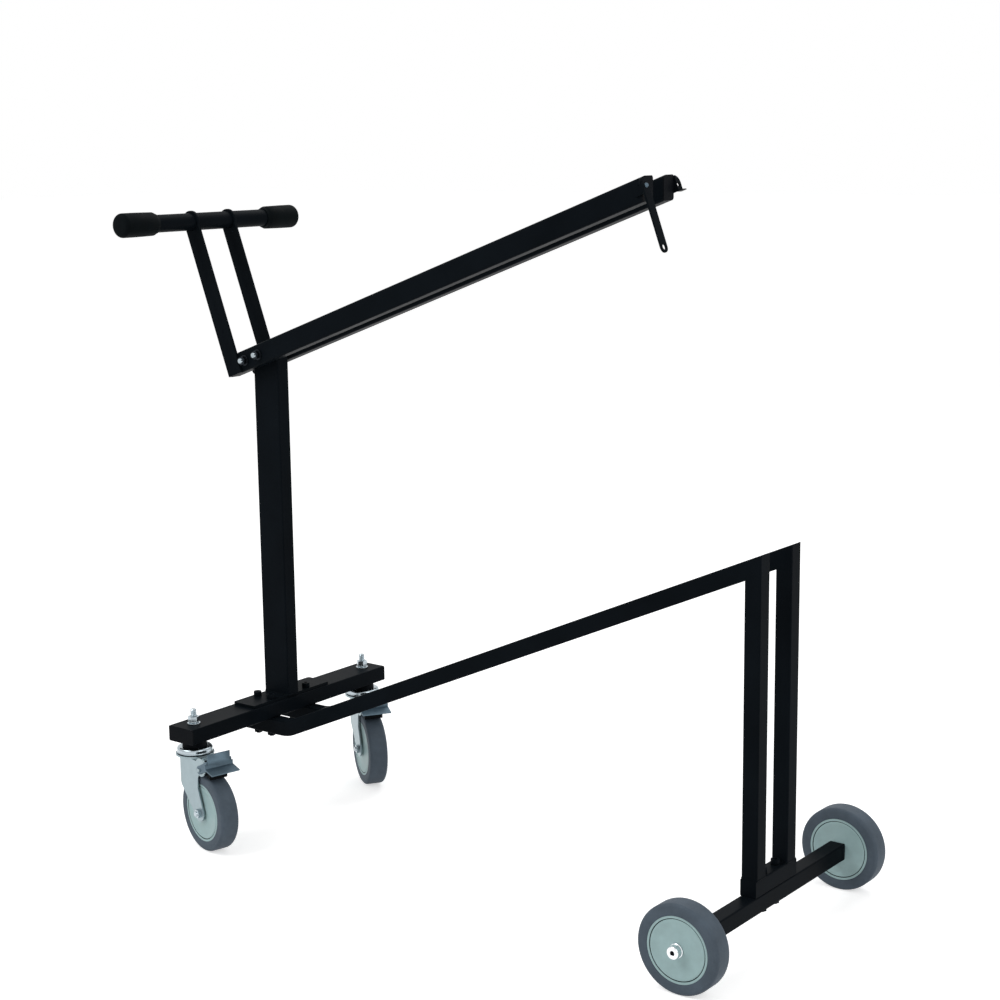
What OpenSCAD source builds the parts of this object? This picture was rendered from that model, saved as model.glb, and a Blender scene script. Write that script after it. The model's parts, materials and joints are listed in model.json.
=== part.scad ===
// Music stand cart: a slotted arm on a mast, a sloping lower frame, two braked casters
// at the front and two fixed wheels at the rear. Millimetres, +Z up, +X to the rear.
// The origin is on the floor, under the middle of the cart's bounding box.

/* [Frame] */
// Distance from the mast's axis to the rear axle
wheelbase = 940; // [800:1:1100]
// Width and depth of the square tube
tube = 25.4; // [22:0.1:30]
// Wall of every steel tube
tube_wall = 1.6; // [1.2:0.1:2.5]
// Outer corner radius of every steel tube
tube_r = 2.2; // [0.8:0.1:4]
// Depth of the mast and of the cross bar, along the cart
mast_d = 54; // [46:1:70]
// Length of the cross bar, over its end caps
cross_l = 468.8; // [430:1:560]
// Distance between the middles of the two lower beams
beam_pitch = 85.8; // [76:1:110]
// Slope of the lower beams
beam_angle = 23.6; // [18:0.1:28]
// Length of a lower beam's level foot in front of the mast's axis
beam_foot_l = 33; // [30:1:50]
// Distance from the mast's axis back to the bend in the lower beams
beam_bend_l = 57.2; // [54:0.1:90]
// Radius of that bend, to the middle of the tube
beam_bend_r = 60; // [40:1:80]
// Length of the mast's foot plate
plate_l = 183; // [170:1:230]
// Thickness of the mast's foot plate
plate_t = 5; // [3:0.5:8]

/* [Arm] */
// Slope of the arm
rail_angle = 20; // [12:0.1:26]
// Height of the arm's lower edge at the mast's axis
rail_z = 758.6; // [650:1:850]
// Width of one rail
rail_w = 25.4; // [20:0.1:35]
// Height of one rail
rail_h = 33.5; // [30:0.1:45]
// Outer corner radius of a rail
rail_r = 4; // [2:0.1:6]
// Width of the slot between the rails
slot_w = 28; // [27.4:0.1:40]
// Length of the arm behind the mast's axis
rail_rear = 812.5; // [600:1:900]
// Length of the arm in front of the mast's axis
rail_front = 58.5; // [50:1:90]
// Distance between the two bolts at the mast's head
rail_bolt_pitch = 32; // [28:1:38]

/* [Handle] */
// Width of a handle upright
upright_w = 30; // [24:1:36]
// Thickness of a handle upright
upright_t = 5; // [3:0.5:8]
// Height of the handle bar over the arm's lower edge
handle_rise = 262.5; // [180:1:320]
// Diameter of the handle bar
bar_d = 28.6; // [20:0.1:32]
// Length of the handle over its grips
handle_l = 396; // [300:1:440]
// Length of a grip
grip_l = 75; // [60:1:110]
// Diameter of a grip
grip_d = 39; // [36:1:46]
// Thickness of a grip's closed end
grip_end_t = 6; // [3:1:10]

/* [Wheels] */
// Diameter of every wheel
wheel_d = 127; // [100:1:150]
// Width of a tyre
tyre_w = 32; // [28:1:36]
// Inner radius of a tyre
tyre_in = 47; // [40:1:52]
// Radius of a wheel's side cover
cover_r = 42.6; // [35:0.1:42.8]
// Distance between the outer faces of a wheel's two covers
hub_w = 30.6; // [27:0.1:31.8]
// Diameter of a rear wheel's axle bolt
rear_axle_d = 12; // [8:0.5:16]
// Length of the axle beam
axle_beam_l = 414.8; // [380:1:500]
// Thickness of the washer between the axle beam and a rear wheel
axle_washer_t = 4; // [2:0.5:8]
// Length of a rear axle's end cap
axle_cap_l = 12.2; // [9:0.1:18]

/* [Casters] */
// Distance between the casters' swivel axes
caster_pitch = 409.8; // [380:1:440]
// Distance from a swivel axis to its wheel's axis
trail = 41.6; // [34:0.1:46]
// Angle of the near caster at rest
swivel_near = 13.9; // [-25:0.1:30]
// Angle of the far caster at rest
swivel_far = 33.7; // [-25:0.1:40]
// Diameter of the stem
stem_d = 10; // [8:0.5:12]
// Height of the stem over the cross bar
stem_rise = 24.5; // [20:0.5:32]
// Diameter of a caster's axle bolt
caster_axle_d = 8; // [6:0.5:10]
// Thickness of the fork's plate
fork_t = 2.5; // [2:0.1:4]
// Gap between the tyre and a fork leg
fork_gap = 2; // [1:0.1:4]
// Diameter of the bearing race
race_d = 58; // [52:1:64]
// Height of the black collar over the race
collar_h = 10.5; // [8:0.5:16]
// Diameter of the black collar
collar_d = 38; // [32:1:46]
// Gap between the brake block and the tyre while the brake is off
brake_gap = 5; // [3.5:0.1:6]
// Width of the brake pedal's upright plate
pedal_w = 41; // [36:1:46]
// Width of the brake pedal's lip
pedal_lip_w = 51; // [47:1:58]

/* [Latch] */
// Distance from the strap's pivot to its eye
strap_l = 87.8; // [86:0.1:90]
// Width of the strap
strap_w = 16; // [13:0.5:18]
// Thickness of the strap
strap_t = 3; // [2:0.1:4]
// Diameter of the strap's eye
eye_d = 8; // [5:0.1:10]
// Diameter of the hole in the far bracket
catch_hole_d = 7; // [4:0.1:9]
// Thickness of the latch's two brackets
bracket_t = 3; // [2:0.1:4]

/* [Fasteners] */
// Diameter of the frame's bolts
bolt_d = 8; // [6:0.5:10]
// Diameter of the arm's bolts
rail_bolt_d = 8; // [6:0.5:10]
// Distance between the two foot bolts of one lower beam
foot_bolt_pitch = 30; // [26:1:34]
// Distance between the two bolts of the rear foot tube
rear_bolt_pitch = 36; // [30:1:40]

/* [Hidden] */
$fn = 64;

// Clearances: a turning shaft, a bolt in its hole, a plug in its tube, a side gap
fit_run = 0.05;
fit_bolt = 0.25;
fit_plug = 0.1;
side_gap = 0.4;
fit_latch = 0.3;

// Colours
paint = "#15181d";
plastic = "#1b1b1e";
black_rubber = "#26262a";
tyre_grey = "#575c69";
disc_grey = "#aebfb9";
zinc = "#c3c7cb";
dull_zinc = "#8e949b";
chrome = "#dfe1e3";

// The arm's own directions, from the point where its lower edge crosses the mast's axis:
// s runs along the arm and n square to it, upwards
function arm_x(s, n) = s * cos(rail_angle) - n * sin(rail_angle);
function arm_z(s, n) = s * sin(rail_angle) + n * cos(rail_angle);

// The handle bar stands over the middle of the uprights
upright_inset = 1.8;
bar_s = -rail_front + upright_w / 2 + upright_inset;
bar_dx = arm_x(bar_s, handle_rise);

// Places along the cart
wheel_r = wheel_d / 2;
overall_l = wheel_r + wheelbase - bar_dx + grip_d / 2;
axle_x = overall_l / 2 - wheel_r;
mast_x = axle_x - wheelbase;

// Heights, from the floor up: the rear
axle_z = wheel_r;
foot_tube_z = axle_z + tube;
post_z = foot_tube_z + tube / 2;

// Heights of a caster, from its wheel up
crown_gap = 20;
crown_plate_t = 2.5;
crown_t = 2.9;
crown_z = wheel_d + crown_gap;
ball_d = 5.5;
ball_n = 16;
lower_race_z = crown_z + crown_plate_t + crown_t;
upper_race_z = lower_race_z + ball_d + fit_bolt;
race_t = 5;
race_top = upper_race_z + race_t;
bar_z = race_top + collar_h;
bar_top = bar_z + tube;
plate_top = bar_top + plate_t;

// The lower beams: the bend is where the middles of the level and the sloping length cross
beam_y = beam_pitch / 2;
corner_x = axle_x + tube / 2;
bend_top_x = mast_x + beam_bend_l;
post_top = bar_z + (corner_x - bend_top_x) * tan(beam_angle);
bend_x = bend_top_x + tube / 2 * tan(beam_angle / 2);
bend_reach = beam_bend_r * tan(beam_angle / 2);
mitre_angle = (90 - beam_angle) / 2;
foot_front_x = mast_x - beam_foot_l;

// The rails and the uprights
rail_y = (slot_w + rail_w) / 2;
rail_out = slot_w / 2 + rail_w;
rail_l = rail_front + rail_rear;
cap_t = 2;
plug_l = 14;
vent_r = 0.5;
rail_end_x = mast_x + arm_x(rail_rear, rail_h);
upright_y = rail_out + upright_t / 2;
head_r = 18;
mast_top_n = rail_h - 4;

// Wheels
cover_t = 1.6;
rim_in = tyre_in - 3.2;
rim_w = hub_w + 0.6;
hub_core_w = hub_w - 2 * cover_t;
boss_r = 9;
fork_in = tyre_w / 2 + fork_gap;
fork_out = fork_in + fork_t;
caster_boss_w = 2 * (fork_in - 0.3);
rear_wheel_y = axle_beam_l / 2 + axle_washer_t + side_gap + hub_w / 2;
insert_l = 40;
cap_face = axle_washer_t + hub_w + 2 * side_gap;
cap_wall = 2;
caster_y = caster_pitch / 2;

// The fork, from the swivel axis
fork_front = 24;
crown_r = race_d / 2 + 2;
skirt_z = crown_z - 30;

// The brake pedal's pivot, and its upright plate, from the swivel axis
pedal_x = trail + 9;
pedal_z = crown_z - 9;
pin_r = 3;
lobe_r = 15;
lobe_z = pedal_z + 4;
pedal_t = 2;
pedal_face_x = trail + 31;
pedal_low = crown_z - 3;
pedal_high = crown_z + 21;

// The latch: the pivot and the far hole stand at equal distances from the arm's middle
latch_y = strap_l / 2;
pivot_n = rail_h / 2 + 2;
pivot_r = 2.5;
rivet_r = 3.5;
rivet_h = 2.2;
ear_s = rail_rear - bracket_t;
ear_reach = 11.7;
ear_low = 9.5;
ear_high = 20.5;
flange_l = 20;
flange_h = 20.5;
strap_s = rail_rear + fit_latch;
lip_n = pivot_n - strap_w / 2 - fit_latch;
lip_t = 1.5;
lip_l = 5.7;

// A flat outline with round corners
module round_rect(w, h, r) {
    square([w - 2 * r, h], center = true);
    square([w, h - 2 * r], center = true);
    for (x = [-1, 1], y = [-1, 1])
        translate([x * (w / 2 - r), y * (h / 2 - r)]) circle(r);
}

// The section of a steel tube, w wide and h high with corners of radius r
module tube_section(w, h, r) {
    difference() {
        round_rect(w, h, r);
        round_rect(w - 2 * tube_wall, h - 2 * tube_wall, max(r - tube_wall, 0.4));
    }
}

// A steel tube along Z from the origin, w wide along X and h along Y
module steel_tube(w, h, l, r = tube_r) {
    linear_extrude(l) tube_section(w, h, r);
}

// The section of a plug that fits in such a tube
module plug_section(w, h, r) {
    round_rect(w - 2 * tube_wall - 2 * fit_plug, h - 2 * tube_wall - 2 * fit_plug,
        max(r - tube_wall, 0.4));
}

// A plastic cap in the end of a tube: a flange on the end and a plug inside.
// The tube ends at the origin and the flange stands out along +Z.
module tube_cap(w, h, r = tube_r) {
    color(plastic) difference() {
        union() {
            linear_extrude(cap_t) round_rect(w, h, r);
            translate([0, 0, -plug_l]) linear_extrude(plug_l + 0.01) plug_section(w, h, r);
        }
        translate([0, 0, -plug_l - 1]) cylinder(r = vent_r, h = plug_l + cap_t + 2);
    }
}

// A hexagon socket screw, with the seat of its head at the origin and its shank down to -l
module socket_screw(d, l) {
    difference() {
        cylinder(d = 1.5 * d + 1, h = d);
        translate([0, 0, d / 2]) cylinder(d = 0.9 * d, h = d, $fn = 6);
    }
    translate([0, 0, -l]) cylinder(d = d, h = l + 0.1);
}

// A plain nut that stands on the origin
module plain_nut(d) {
    difference() {
        cylinder(d = 1.87 * d, h = 0.8 * d, $fn = 6);
        translate([0, 0, -1]) cylinder(d = d + 2 * fit_run, h = 2 * d);
    }
}

// A hexagon bolt, with its washer's lower face at the origin, its head up and its shank
// down to -l, or a nut with its washer
module hex_head(d) {
    cylinder(d = 2 * d + 1, h = d * 0.2);
    translate([0, 0, d * 0.2]) cylinder(d = 1.85 * d, h = d * 0.65, $fn = 6);
}

module hex_bolt(d, l) {
    hex_head(d);
    translate([0, 0, -l]) cylinder(d = d, h = l + 0.1);
}

module hex_nut(d) {
    difference() {
        union() {
            cylinder(d = 2 * d + 1, h = d * 0.2);
            translate([0, 0, d * 0.2]) cylinder(d = 1.85 * d, h = d * 0.8, $fn = 6);
        }
        translate([0, 0, -1]) cylinder(d = d, h = 2 * d);
    }
}

// The near side is -Y, the far side +Y
module on_arm(s, n, y) {
    translate([mast_x, y, rail_z]) rotate([0, -rail_angle, 0]) translate([s, 0, n]) children();
}

// Front frame
module cross_bar() {
    color(paint) difference() {
        translate([mast_x, cross_l / 2 - cap_t, bar_z + tube / 2]) rotate([90, 0, 0])
            steel_tube(mast_d, tube, cross_l - 2 * cap_t);
        foot_holes();
        for (y = [-1, 1]) translate([mast_x, y * caster_y, bar_z - 1])
            cylinder(d = stem_d + 2 * fit_bolt, h = tube + 2);
    }
}

module foot_holes() {
    for (x = [-1, 1], y = [-1, 1])
        translate([mast_x + x * foot_bolt_pitch / 2, y * beam_y, bar_z - tube - 1])
            cylinder(d = bolt_d + 2 * fit_bolt, h = 2 * tube + plate_t + 2);
}

module tube_end_caps() {
    for (y = [-1, 1])
        translate([mast_x, y * (cross_l / 2 - cap_t), bar_z + tube / 2])
            rotate([-y * 90, 0, 0]) tube_cap(mast_d, tube);
    for (y = [-1, 1]) {
        on_arm(-rail_front + cap_t, rail_h / 2, y * rail_y) rotate([0, -90, 0])
            tube_cap(rail_h, rail_w, rail_r);
        plumb_cap(y * rail_y);
    }
}

// The rails' rear ends are cut plumb through their top corners: this is the space behind
// that cut, moved forward by the given length
module behind_end(forward) {
    translate([rail_end_x - forward, -rail_l, rail_z]) cube([rail_l, 2 * rail_l, rail_l]);
}

// The plastic cap of a plumb end: a plate on the cut and a plug inside the rail
module plumb_cap(y) {
    plug_s = rail_rear - rail_h * tan(rail_angle) - plug_l;
    color(plastic) difference() {
        union() {
            intersection() {
                on_arm(plug_s, rail_h / 2, y) rotate([0, 90, 0]) linear_extrude(2 * rail_h)
                    round_rect(rail_h, rail_w, rail_r);
                behind_end(cap_t);
            }
            on_arm(plug_s, rail_h / 2, y) rotate([0, 90, 0]) linear_extrude(2 * rail_h)
                plug_section(rail_h, rail_w, rail_r);
        }
        behind_end(0);
        on_arm(plug_s - 1, rail_h / 2, y) rotate([0, 90, 0]) cylinder(r = vent_r, h = 3 * rail_h);
    }
}

module mast() {
    color(paint) difference() {
        translate([mast_x, 0, plate_top])
            steel_tube(mast_d, tube, rail_z + rail_h + mast_d - plate_top);
        on_arm(-2 * mast_d, mast_top_n, -tube) cube([4 * mast_d, 2 * tube, 4 * mast_d]);
        arm_holes(tube + 2);
    }
}

module arm_holes(l) {
    for (x = [-1, 1])
        on_arm(x * rail_bolt_pitch / 2, rail_h / 2, 0) rotate([90, 0, 0])
            cylinder(d = rail_bolt_d + 2 * fit_bolt, h = l, center = true);
}

module mast_foot_plate() {
    plate_margin = 3;
    plate_r = 4;
    color(paint) difference() {
        translate([mast_x, 0, bar_top]) linear_extrude(plate_t)
            round_rect(mast_d - 2 * plate_margin, plate_l, plate_r);
        foot_holes();
    }
}

module foot_bolts() {
    for (x = [-1, 1], y = [-1, 1])
        translate([mast_x + x * foot_bolt_pitch / 2, y * beam_y, plate_top])
            color(paint) socket_screw(bolt_d, plate_t + 2 * tube + bolt_d);
}

module foot_nuts() {
    for (x = [-1, 1], y = [-1, 1])
        translate([mast_x + x * foot_bolt_pitch / 2, y * beam_y, bar_z - tube])
            rotate([180, 0, 0]) color(paint) plain_nut(bolt_d);
}

// A lower beam, in one bent tube: the level foot under the cross bar, the bend, and the
// long slope up to the mitre at the post
module lower_beam(y) {
    color(paint) difference() {
        union() {
            translate([foot_front_x, y, bar_z - tube / 2]) rotate([0, 90, 0])
                steel_tube(tube, tube, bend_x - bend_reach - foot_front_x);
            translate([bend_x - bend_reach, y, bar_z - tube / 2 + beam_bend_r]) rotate([90, 0, 0])
                rotate(-90) rotate_extrude(angle = beam_angle)
                    translate([beam_bend_r, 0]) tube_section(tube, tube, tube_r);
            difference() {
                translate([bend_x, y, bar_z - tube / 2]) rotate([0, 90 - beam_angle, 0])
                    translate([0, 0, bend_reach])
                        steel_tube(tube, tube, (wheelbase + tube) / cos(beam_angle));
                translate([corner_x, y, post_top]) rotate([0, mitre_angle, 0])
                    translate([0, -tube, -4 * tube]) cube([8 * tube, 2 * tube, 8 * tube]);
            }
        }
        foot_holes();
    }
}

module post(y) {
    color(paint) difference() {
        translate([axle_x, y, post_z]) steel_tube(tube, tube, post_top + tube - post_z);
        translate([corner_x, y, post_top]) rotate([0, mitre_angle, 0])
            translate([-4 * tube, -tube, -4 * tube]) cube([4 * tube, 2 * tube, 8 * tube]);
    }
}

// Rear frame
module rear_holes() {
    for (y = [-1, 1]) translate([axle_x, y * rear_bolt_pitch / 2, axle_z - tube])
        cylinder(d = bolt_d + 2 * fit_bolt, h = 3 * tube);
}

module rear_foot_tube() {
    foot_l = beam_pitch + tube;
    color(paint) difference() {
        translate([axle_x, foot_l / 2, foot_tube_z]) rotate([90, 0, 0])
            steel_tube(tube, tube, foot_l);
        rear_holes();
    }
    for (y = [-1, 1]) translate([axle_x, y * foot_l / 2, foot_tube_z]) rotate([-y * 90, 0, 0])
        tube_cap(tube, tube);
}

module rear_foot_bolts() {
    for (y = [-1, 1]) translate([axle_x, y * rear_bolt_pitch / 2, post_z])
        color(paint) socket_screw(bolt_d, 2 * tube + bolt_d);
}

module rear_foot_nuts() {
    for (y = [-1, 1]) translate([axle_x, y * rear_bolt_pitch / 2, axle_z - tube / 2])
        rotate([180, 0, 0]) color(paint) plain_nut(bolt_d);
}

module axle_beam() {
    color(paint) difference() {
        translate([axle_x, axle_beam_l / 2, axle_z]) rotate([90, 0, 0])
            steel_tube(tube, tube, axle_beam_l);
        rear_holes();
    }
}

// One side of the rear axle, laid along +Z from the beam's end
module on_axle_end(side) {
    translate([axle_x, side * axle_beam_l / 2, axle_z]) rotate([-side * 90, 0, 0]) children();
}

module axle_inserts() {
    inner = tube - 2 * tube_wall - 2 * fit_plug;
    for (side = [-1, 1]) on_axle_end(side) color(dull_zinc) difference() {
        translate([0, 0, -insert_l]) linear_extrude(insert_l) square(inner, center = true);
        translate([0, 0, -insert_l - 1]) cylinder(d = rear_axle_d + 2 * fit_plug, h = insert_l + 2);
    }
}

module axle_bolts() {
    for (side = [-1, 1]) on_axle_end(side) color(zinc)
        translate([0, 0, -insert_l])
            cylinder(d = rear_axle_d, h = insert_l + cap_face + axle_cap_l - cap_wall);
}

module axle_washers() {
    for (side = [-1, 1]) on_axle_end(side) color(zinc) difference() {
        cylinder(d = rear_axle_d * 2 - 2, h = axle_washer_t);
        translate([0, 0, -1]) cylinder(d = rear_axle_d + 2 * fit_plug, h = axle_washer_t + 2);
    }
}

// A round chrome cap over the bolt's end, with a small hole in its face
module axle_caps() {
    cap_r = rear_axle_d / 2 + 4;
    for (side = [-1, 1]) on_axle_end(side) translate([0, 0, cap_face]) color(chrome)
        difference() {
            union() {
                cylinder(r = cap_r, h = axle_cap_l - 2);
                translate([0, 0, axle_cap_l - 2]) cylinder(r1 = cap_r, r2 = cap_r - 2, h = 2);
            }
            translate([0, 0, -1]) cylinder(d = rear_axle_d + 2 * fit_plug, h = axle_cap_l - cap_wall + 1);
            cylinder(r = cap_r / 3, h = axle_cap_l + 1);
        }
}

// Arm
module rail(y) {
    color(paint) difference() {
        on_arm(-rail_front + cap_t, rail_h / 2, y) rotate([0, 90, 0])
            steel_tube(rail_h, rail_w, rail_l, rail_r);
        arm_holes(2 * rail_out + 2);
        behind_end(cap_t);
    }
}

module rail_bolts() {
    for (x = [-1, 1]) on_arm(x * rail_bolt_pitch / 2, rail_h / 2, rail_out) rotate([-90, 0, 0])
        color(zinc) hex_bolt(rail_bolt_d, 2 * rail_out + rail_bolt_d * 1.5);
}

module rail_nuts() {
    for (x = [-1, 1]) on_arm(x * rail_bolt_pitch / 2, rail_h / 2, -rail_out) rotate([90, 0, 0])
        color(zinc) hex_nut(rail_bolt_d);
}

// Washers that fill the slot on both sides of the mast
module rail_spacers() {
    t = (slot_w - tube) / 2;
    for (x = [-1, 1], y = [-1, 1])
        on_arm(x * rail_bolt_pitch / 2, rail_h / 2, y * (slot_w / 2 - t / 2)) rotate([90, 0, 0])
            color(zinc) difference() {
                cylinder(d = 2 * rail_bolt_d + 1, h = t, center = true);
                cylinder(d = rail_bolt_d + 2 * fit_bolt, h = t + 1, center = true);
            }
}

// Handle
module handle_upright(y) {
    color(paint) on_arm(bar_s, 0, y) rotate([90, 0, 0]) linear_extrude(upright_t, center = true)
        difference() {
            union() {
                translate([-upright_w / 2, 0]) square([upright_w, handle_rise]);
                translate([0, handle_rise]) circle(head_r);
            }
            translate([0, handle_rise]) circle(d = bar_d + 2 * fit_plug);
        }
}

module handle_bar() {
    color(paint) on_arm(bar_s, handle_rise, 0) rotate([90, 0, 0])
        difference() {
            cylinder(d = bar_d, h = handle_l - 2 * grip_end_t, center = true);
            cylinder(d = bar_d - 2 * tube_wall, h = handle_l, center = true);
        }
}

module grip(side) {
    round_r = 6;
    color(black_rubber) on_arm(bar_s, handle_rise, side * handle_l / 2) rotate([side * 90, 0, 0])
        rotate_extrude() difference() {
            union() {
                translate([0, round_r]) square([grip_d / 2, grip_l - round_r]);
                square([grip_d / 2 - round_r, grip_l]);
                translate([grip_d / 2 - round_r, round_r]) circle(round_r);
            }
            translate([-grip_d, -1]) square([grip_d, grip_l + 2]);
            translate([0, grip_end_t]) square([bar_d / 2 + fit_plug, grip_l]);
        }
}

// Latch: a rivet through the near bracket's ear, with its head on the strap
module latch_pivot() {
    strap_face = strap_s + strap_t + fit_latch;
    color(zinc) on_arm(ear_s, pivot_n, -latch_y) rotate([0, 90, 0]) {
        cylinder(r = pivot_r, h = strap_face - ear_s + 0.1);
        translate([0, 0, strap_face - ear_s]) cylinder(r1 = rivet_r, r2 = pivot_r, h = rivet_h);
    }
}

module latch_strap() {
    color(paint) on_arm(strap_s, pivot_n, -latch_y) rotate([0, 90, 0]) difference() {
        union() {
            cylinder(d = strap_w, h = strap_t);
            translate([strap_l, 0, 0]) cylinder(d = strap_w, h = strap_t);
            translate([0, -strap_w / 2, 0]) cube([strap_l, strap_w, strap_t]);
        }
        translate([0, 0, -1]) cylinder(r = pivot_r + fit_run, h = strap_t + 2);
        translate([strap_l, 0, -1]) cylinder(d = eye_d, h = strap_t + 2);
    }
}

// A bracket on a rail's outer face: a flange and an ear across the arm's end, whose lower
// part is square and whose upper part is a quarter round. The hole takes the pivot or a lock.
module latch_bracket(side, hole_r) {
    color(paint) difference() {
        union() {
            on_arm(rail_rear - flange_l, ear_low, side < 0 ? -rail_out - bracket_t : rail_out)
                cube([flange_l, bracket_t, flange_h]);
            on_arm(ear_s, 0, 0) rotate([90, 0, 90]) linear_extrude(bracket_t) {
                translate([side < 0 ? -rail_out - ear_reach : rail_out, ear_low])
                    square([ear_reach, ear_high - ear_low]);
                intersection() {
                    translate([side * rail_out, ear_high]) circle(ear_reach);
                    translate([side < 0 ? -rail_out - ear_reach : rail_out, ear_low])
                        square([ear_reach, 2 * ear_reach]);
                }
            }
        }
        on_arm(ear_s, pivot_n, side * latch_y) rotate([0, 90, 0])
            cylinder(r = hole_r, h = bracket_t + 1);
    }
}

// The far bracket has a lip under its ear, where the closed strap comes to rest
module latch_brackets() {
    latch_bracket(-1, pivot_r + fit_plug);
    latch_bracket(1, catch_hole_d / 2);
    color(paint) on_arm(ear_s, lip_n - lip_t, rail_out)
        cube([bracket_t + lip_l, ear_reach, lip_t]);
}

// One rivet through each bracket's flange
module end_rivets() {
    rivet_s = rail_rear - 8.5;
    rivet_n = 25;
    for (side = [-1, 1]) on_arm(rivet_s, rivet_n, side * (rail_out + bracket_t))
        rotate([-side * 90, 0, 0]) color(dull_zinc) cylinder(r1 = 3.2, r2 = 2.2, h = 1.6);
}

// Casters: each is drawn on its own swivel axis with its wheel trailing along +X,
// and then turned to its resting angle
module at_caster(side) {
    translate([mast_x, side * caster_y, 0]) rotate(side < 0 ? -swivel_near : -swivel_far) children();
}

module caster_stem(side) {
    stem_top = bar_top + stem_rise;
    chamfer = 1.2;
    head_t = 4;
    race_wall = 2;
    color(zinc) at_caster(side) {
        translate([0, 0, crown_z]) cylinder(d = stem_d, h = stem_top - chamfer - crown_z);
        translate([0, 0, stem_top - chamfer])
            cylinder(d1 = stem_d, d2 = stem_d - 2 * chamfer, h = chamfer);
        translate([0, 0, crown_z - side_gap - head_t]) cylinder(d = stem_d + 9, h = head_t);
        translate([0, 0, crown_z - side_gap - 0.1]) cylinder(d = stem_d, h = side_gap + 0.2);
        difference() {
            translate([0, 0, lower_race_z + 1]) cylinder(d = race_d, h = race_top - lower_race_z - 1);
            translate([0, 0, lower_race_z])
                cylinder(d = race_d - 2 * race_wall, h = upper_race_z - lower_race_z);
        }
    }
}

module caster_collar(side) {
    color(plastic) at_caster(side) translate([0, 0, race_top]) difference() {
        cylinder(d1 = collar_d + 2, d2 = collar_d, h = collar_h);
        translate([0, 0, -1]) cylinder(d = stem_d + 2 * fit_bolt, h = collar_h + 2);
    }
}

module ring(d, hole_d, h) {
    difference() {
        cylinder(d = d, h = h);
        translate([0, 0, -1]) cylinder(d = hole_d, h = h + 2);
    }
}

// The stem's nut on a spring washer and a flat washer
module caster_nut(side) {
    flat_t = 2;
    spring_t = 2.5;
    nut_hole = stem_d + 2 * fit_run;
    color(zinc) at_caster(side) translate([0, 0, bar_top]) {
        ring(2.1 * stem_d, stem_d + 2 * fit_bolt, flat_t);
        translate([0, 0, flat_t + fit_run]) ring(1.6 * stem_d, stem_d + 2 * fit_bolt, spring_t);
        translate([0, 0, flat_t + spring_t + 2 * fit_run]) plain_nut(stem_d);
    }
}

// The side of a fork leg, with x along the trail and y up, from the floor. Its front edge
// falls plumb from the crown, curves back to the axle, and its rear edge rises to a round
// lobe that carries the brake.
module leg_outline() {
    boss = 13.5;
    polygon([
        [-fork_front, crown_z + crown_plate_t], [-fork_front, skirt_z + 8],
        [-fork_front + 3, skirt_z - 4], [-fork_front + 11, skirt_z - 16],
        [trail - boss * 0.86, wheel_r - boss * 0.51], [trail + boss * 0.95, wheel_r + boss * 0.3],
        [trail - 2, wheel_d - 22], [trail, wheel_d - 5], [pedal_x, pedal_z],
        [trail + 4, crown_z + crown_plate_t]
    ]);
    translate([trail, wheel_r]) circle(boss);
    translate([pedal_x, lobe_z]) circle(lobe_r);
}

// The fork is one pressing: a U of plate seen from above, with round front corners, cut to
// the leg's outline from the side, under a round crown
module caster_fork(side) {
    corner_r = 14;
    back = pedal_x + 30;
    color(zinc) at_caster(side) difference() {
        union() {
            intersection() {
                linear_extrude(crown_z + crown_plate_t) difference() {
                    fork_plan(fork_out, corner_r, fork_front, back);
                    fork_plan(fork_in, corner_r - fork_t, fork_front - fork_t, back + 1);
                }
                rotate([90, 0, 0]) linear_extrude(2 * fork_out + 2, center = true) leg_outline();
            }
            for (y = [-1, 1])
                translate([0, y > 0 ? fork_out : -fork_in, 0]) rotate([90, 0, 0])
                    linear_extrude(fork_t) translate([pedal_x, lobe_z]) circle(lobe_r);
            translate([0, 0, crown_z]) linear_extrude(crown_plate_t)
                fork_plan(fork_out, corner_r, fork_front, trail + 4);
            translate([0, 0, crown_z + crown_plate_t - 0.01]) cylinder(r = crown_r, h = crown_t + 0.01);
            for (y = [-1, 1]) translate([pedal_x, y * fork_out, pedal_z]) rotate([-y * 90, 0, 0])
                cylinder(r = pin_r, h = 4.5);
        }
        translate([0, 0, crown_z - 1])
            cylinder(d = stem_d + 2 * fit_run, h = crown_t + crown_plate_t + 2);
        translate([trail, 0, wheel_r]) rotate([90, 0, 0])
            cylinder(d = caster_axle_d + 2 * fit_plug, h = 2 * fork_out + 2, center = true);
    }
}

// A plan of the fork: half-width w, front corners of radius r, from -front to back
module fork_plan(w, r, front, back) {
    translate([-front + r, -w]) square([back + front - r, 2 * w]);
    translate([-front, -w + r]) square([r + 1, 2 * (w - r)]);
    for (y = [-1, 1]) translate([-front + r, y * (w - r)]) circle(r);
}

module caster_balls(side) {
    ring_r = race_d / 2 - 7;
    color(zinc) at_caster(side) for (i = [0 : ball_n - 1]) rotate(i * 360 / ball_n)
        translate([ring_r, 0, lower_race_z + ball_d / 2 + 0.02]) sphere(d = ball_d, $fn = 24);
}

module caster_axle(side) {
    head = caster_axle_d * 0.65;
    color(zinc) at_caster(side) translate([trail, 0, wheel_r]) rotate([90, 0, 0]) {
        cylinder(d = caster_axle_d, h = 2 * fork_out + 16, center = true);
        for (z = [-1, 1]) translate([0, 0, z * (fork_out + head / 2)])
            cylinder(d = 1.85 * caster_axle_d, h = head, center = true, $fn = 6);
    }
}

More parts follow.
